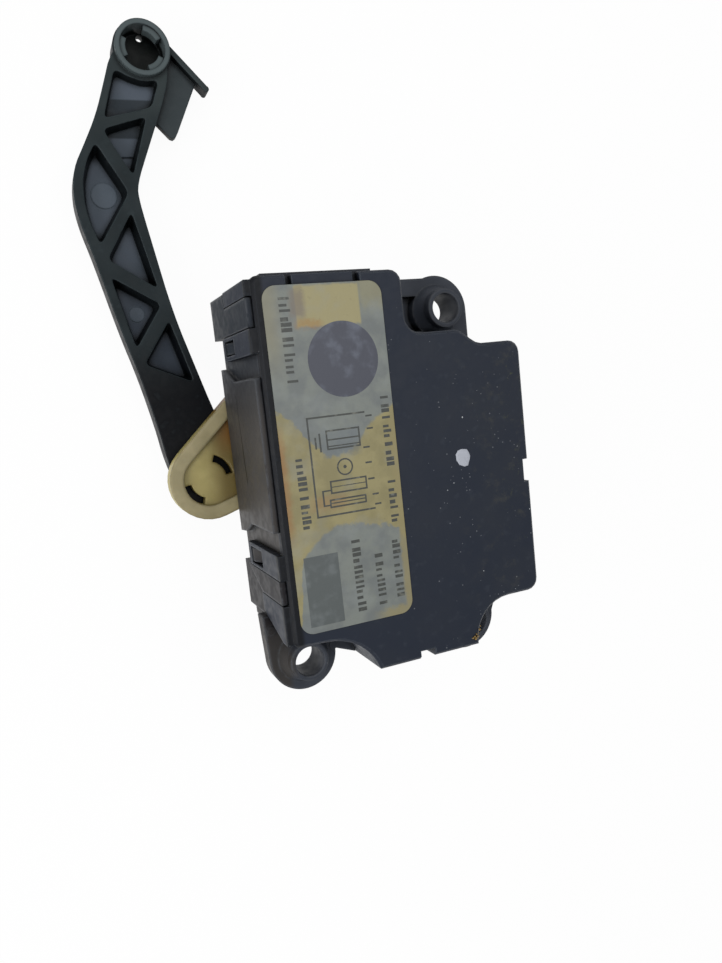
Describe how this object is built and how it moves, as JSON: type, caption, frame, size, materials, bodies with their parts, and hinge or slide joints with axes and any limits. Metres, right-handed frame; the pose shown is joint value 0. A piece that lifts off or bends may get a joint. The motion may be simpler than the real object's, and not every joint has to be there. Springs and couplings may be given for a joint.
{
  "type": "intake flap actuator",
  "caption": "Stepper actuator in a flat black moulded case with screw ears, a round-ended cream crank under it and a long ribbed link rod with a snap socket.",
  "frame": {"origin": "centre of the datum screw hole on the mounting plane, the underside of the ears", "axes": "+Z out of the cover along the screws, +Y up the length of the case towards the plug, +X across the case"},
  "size_m": [0.0731, 0.1277, 0.0376],
  "materials": {
    "black_plastic": "satin",
    "cover_plastic": "satin",
    "rod_plastic": "satin",
    "cream_plastic": "satin",
    "natural_plastic": "satin",
    "label_film": "satin",
    "steel": "satin",
    "copper": "satin",
    "bronze": "satin",
    "brass": "satin",
    "ferrite": "matte",
    "wire_red": "satin"
  },
  "bodies": {
    "case": {"base_housing": "black_plastic", "cover": "cover_plastic", "label": "label_film", "terminal_carrier": "black_plastic", "terminals": "brass", "motor_terminal_block": "natural_plastic", "lead_wires": "wire_red", "motor_can": "steel", "motor_plate": "steel", "stator_plates": "steel", "bobbin_lower": "natural_plastic", "bobbin_upper": "natural_plastic", "winding_lower": "copper", "winding_upper": "copper", "bush_lower": "bronze", "bush_upper": "bronze", "motor_screws": "steel", "axle_first": "steel", "axle_second": "steel", "axle_third": "steel"},
    "rotor": {"rotor_magnet": "ferrite", "rotor_shaft": "steel", "motor_pinion": "brass"},
    "first_cluster": {"first_gear": "natural_plastic"},
    "second_cluster": {"second_gear": "natural_plastic"},
    "third_cluster": {"third_gear": "natural_plastic"},
    "output": {"output_gear": "natural_plastic", "crank_lever": "cream_plastic"},
    "link": {"link_rod": "rod_plastic"}
  },
  "joints": [
    {"name": "rotor_spin", "type": "hinge", "parent": "case", "child": "rotor", "pos_m": [0.02072, 0.01606, 0], "axis": [0, 0, 1], "range_deg": [-13500, 13500]},
    {"name": "first_spin", "type": "hinge", "parent": "case", "child": "first_cluster", "pos_m": [0.02932, 0.02209, 0], "axis": [0, 0, 1], "range_deg": [-3375, 3375]},
    {"name": "second_spin", "type": "hinge", "parent": "case", "child": "second_cluster", "pos_m": [0.02368, 0.03268, 0], "axis": [0, 0, 1], "range_deg": [-675, 675]},
    {"name": "third_spin", "type": "hinge", "parent": "case", "child": "third_cluster", "pos_m": [0.01018, 0.03268, 0], "axis": [0, 0, 1], "range_deg": [-135, 135]},
    {"name": "crank_turn", "type": "hinge", "parent": "case", "child": "output", "pos_m": [0.0081, 0.0445, 0], "axis": [0, 0, 1], "range_deg": [-45, 45]},
    {"name": "rod_swing", "type": "hinge", "parent": "output", "child": "link", "pos_m": [-0.01009, 0.034, 0], "axis": [0, 0, 1], "range_deg": [-60, 60]}
  ],
  "couplings": [
    {"joint": "first_spin", "follows": "rotor_spin", "ratio": -0.25},
    {"joint": "second_spin", "follows": "rotor_spin", "ratio": 0.05},
    {"joint": "third_spin", "follows": "rotor_spin", "ratio": -0.01},
    {"joint": "crank_turn", "follows": "rotor_spin", "ratio": 0.0033333}
  ]
}
